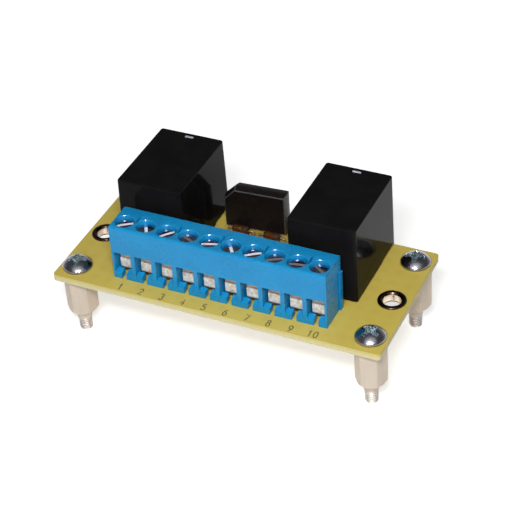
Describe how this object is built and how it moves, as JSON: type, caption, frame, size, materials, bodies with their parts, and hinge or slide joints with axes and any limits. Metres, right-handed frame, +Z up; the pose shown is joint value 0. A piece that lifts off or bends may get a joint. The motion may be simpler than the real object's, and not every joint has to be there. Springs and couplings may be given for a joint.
{
  "type": "relay module board",
  "caption": "Circuit board on hex standoffs with sealed power relays, a row of blue rising-clamp screw terminals, a bridge rectifier and coil diodes.",
  "frame": {"origin": "on the surface under the stud tips, below the middle of the board", "axes": "+X along the board and the terminal row, +Y from the terminal row to the relays, +Z up and out of the eyelets on the component side"},
  "size_m": [0.0776, 0.0364, 0.0365],
  "materials": {
    "laminate": "bare glass laminate, ochre, faintly translucent",
    "copper": "etched copper under clear lacquer",
    "solder": "solder, satin",
    "blue_plastic": "satin moulded",
    "tinned_metal": "tin plated",
    "plated_steel": "bright zinc plate",
    "nickel_plate": "nickel plate, satin",
    "relay_black": "high gloss black",
    "moulded_black": "satin black epoxy",
    "amber_glass": "amber glass"
  },
  "bodies": {
    "board": {"circuit_board": "laminate", "copper_tracks": "copper", "solder_joints": "solder", "terminal_housing_1": "blue_plastic", "terminal_housing_2": "blue_plastic", "terminal_housing_3": "blue_plastic", "terminal_housing_4": "blue_plastic", "terminal_housing_5": "blue_plastic", "terminal_contact_1": "tinned_metal", "terminal_contact_2": "tinned_metal", "terminal_contact_3": "tinned_metal", "terminal_contact_4": "tinned_metal", "terminal_contact_5": "tinned_metal", "terminal_contact_6": "tinned_metal", "terminal_contact_7": "tinned_metal", "terminal_contact_8": "tinned_metal", "terminal_contact_9": "tinned_metal", "terminal_contact_10": "tinned_metal", "relay_cover_left": "relay_black", "relay_cover_right": "relay_black", "relay_base_left": "relay_black", "relay_base_right": "relay_black", "relay_pins_left": "tinned_metal", "relay_pins_right": "tinned_metal", "rectifier_body": "moulded_black", "rectifier_leads": "tinned_metal", "coil_diode_left": "amber_glass", "coil_diode_right": "amber_glass", "diode_leads": "tinned_metal", "eyelet_left": "plated_steel", "eyelet_right": "plated_steel", "board_screw_front_left": "plated_steel", "board_screw_front_right": "plated_steel", "board_screw_back_left": "plated_steel", "board_screw_back_right": "plated_steel", "standoff_front_left": "nickel_plate", "standoff_front_right": "nickel_plate", "standoff_back_left": "nickel_plate", "standoff_back_right": "nickel_plate"},
    "screw_1": {"terminal_screw_1": "plated_steel"},
    "clamp_1": {"terminal_clamp_1": "tinned_metal"},
    "screw_2": {"terminal_screw_2": "plated_steel"},
    "clamp_2": {"terminal_clamp_2": "tinned_metal"},
    "screw_3": {"terminal_screw_3": "plated_steel"},
    "clamp_3": {"terminal_clamp_3": "tinned_metal"},
    "screw_4": {"terminal_screw_4": "plated_steel"},
    "clamp_4": {"terminal_clamp_4": "tinned_metal"},
    "screw_5": {"terminal_screw_5": "plated_steel"},
    "clamp_5": {"terminal_clamp_5": "tinned_metal"},
    "screw_6": {"terminal_screw_6": "plated_steel"},
    "clamp_6": {"terminal_clamp_6": "tinned_metal"},
    "screw_7": {"terminal_screw_7": "plated_steel"},
    "clamp_7": {"terminal_clamp_7": "tinned_metal"},
    "screw_8": {"terminal_screw_8": "plated_steel"},
    "clamp_8": {"terminal_clamp_8": "tinned_metal"},
    "screw_9": {"terminal_screw_9": "plated_steel"},
    "clamp_9": {"terminal_clamp_9": "tinned_metal"},
    "screw_10": {"terminal_screw_10": "plated_steel"},
    "clamp_10": {"terminal_clamp_10": "tinned_metal"}
  },
  "joints": [
    {"name": "screw_1_turn", "type": "hinge", "parent": "board", "child": "screw_1", "pos_m": [-0.02276, -0.0112, 0.029], "axis": [0, 0, 1], "range_deg": [-320.5, 1280.5]},
    {"name": "clamp_1_lift", "type": "slide", "parent": "board", "child": "clamp_1", "axis": [0, 0, 1], "range_m": [-0.0016, 0.0004]},
    {"name": "screw_2_turn", "type": "hinge", "parent": "board", "child": "screw_2", "pos_m": [-0.01768, -0.0112, 0.029], "axis": [0, 0, 1], "range_deg": [-320.5, 1280.5]},
    {"name": "clamp_2_lift", "type": "slide", "parent": "board", "child": "clamp_2", "axis": [0, 0, 1], "range_m": [-0.0016, 0.0004]},
    {"name": "screw_3_turn", "type": "hinge", "parent": "board", "child": "screw_3", "pos_m": [-0.0126, -0.0112, 0.029], "axis": [0, 0, 1], "range_deg": [-320.5, 1280.5]},
    {"name": "clamp_3_lift", "type": "slide", "parent": "board", "child": "clamp_3", "axis": [0, 0, 1], "range_m": [-0.0016, 0.0004]},
    {"name": "screw_4_turn", "type": "hinge", "parent": "board", "child": "screw_4", "pos_m": [-0.00752, -0.0112, 0.029], "axis": [0, 0, 1], "range_deg": [-320.5, 1280.5]},
    {"name": "clamp_4_lift", "type": "slide", "parent": "board", "child": "clamp_4", "axis": [0, 0, 1], "range_m": [-0.0016, 0.0004]},
    {"name": "screw_5_turn", "type": "hinge", "parent": "board", "child": "screw_5", "pos_m": [-0.00244, -0.0112, 0.029], "axis": [0, 0, 1], "range_deg": [-320.5, 1280.5]},
    {"name": "clamp_5_lift", "type": "slide", "parent": "board", "child": "clamp_5", "axis": [0, 0, 1], "range_m": [-0.0016, 0.0004]},
    {"name": "screw_6_turn", "type": "hinge", "parent": "board", "child": "screw_6", "pos_m": [0.00264, -0.0112, 0.029], "axis": [0, 0, 1], "range_deg": [-320.5, 1280.5]},
    {"name": "clamp_6_lift", "type": "slide", "parent": "board", "child": "clamp_6", "axis": [0, 0, 1], "range_m": [-0.0016, 0.0004]},
    {"name": "screw_7_turn", "type": "hinge", "parent": "board", "child": "screw_7", "pos_m": [0.00772, -0.0112, 0.029], "axis": [0, 0, 1], "range_deg": [-320.5, 1280.5]},
    {"name": "clamp_7_lift", "type": "slide", "parent": "board", "child": "clamp_7", "axis": [0, 0, 1], "range_m": [-0.0016, 0.0004]},
    {"name": "screw_8_turn", "type": "hinge", "parent": "board", "child": "screw_8", "pos_m": [0.0128, -0.0112, 0.029], "axis": [0, 0, 1], "range_deg": [-320.5, 1280.5]},
    {"name": "clamp_8_lift", "type": "slide", "parent": "board", "child": "clamp_8", "axis": [0, 0, 1], "range_m": [-0.0016, 0.0004]},
    {"name": "screw_9_turn", "type": "hinge", "parent": "board", "child": "screw_9", "pos_m": [0.01788, -0.0112, 0.029], "axis": [0, 0, 1], "range_deg": [-320.5, 1280.5]},
    {"name": "clamp_9_lift", "type": "slide", "parent": "board", "child": "clamp_9", "axis": [0, 0, 1], "range_m": [-0.0016, 0.0004]},
    {"name": "screw_10_turn", "type": "hinge", "parent": "board", "child": "screw_10", "pos_m": [0.02296, -0.0112, 0.029], "axis": [0, 0, 1], "range_deg": [-320.5, 1280.5]},
    {"name": "clamp_10_lift", "type": "slide", "parent": "board", "child": "clamp_10", "axis": [0, 0, 1], "range_m": [-0.0016, 0.0004]}
  ],
  "couplings": [
    {"joint": "screw_1_turn", "follows": "clamp_1_lift", "rad_per_m": -13963},
    {"joint": "screw_2_turn", "follows": "clamp_2_lift", "rad_per_m": -13963},
    {"joint": "screw_3_turn", "follows": "clamp_3_lift", "rad_per_m": -13963},
    {"joint": "screw_4_turn", "follows": "clamp_4_lift", "rad_per_m": -13963},
    {"joint": "screw_5_turn", "follows": "clamp_5_lift", "rad_per_m": -13963},
    {"joint": "screw_6_turn", "follows": "clamp_6_lift", "rad_per_m": -13963},
    {"joint": "screw_7_turn", "follows": "clamp_7_lift", "rad_per_m": -13963},
    {"joint": "screw_8_turn", "follows": "clamp_8_lift", "rad_per_m": -13963},
    {"joint": "screw_9_turn", "follows": "clamp_9_lift", "rad_per_m": -13963},
    {"joint": "screw_10_turn", "follows": "clamp_10_lift", "rad_per_m": -13963}
  ]
}
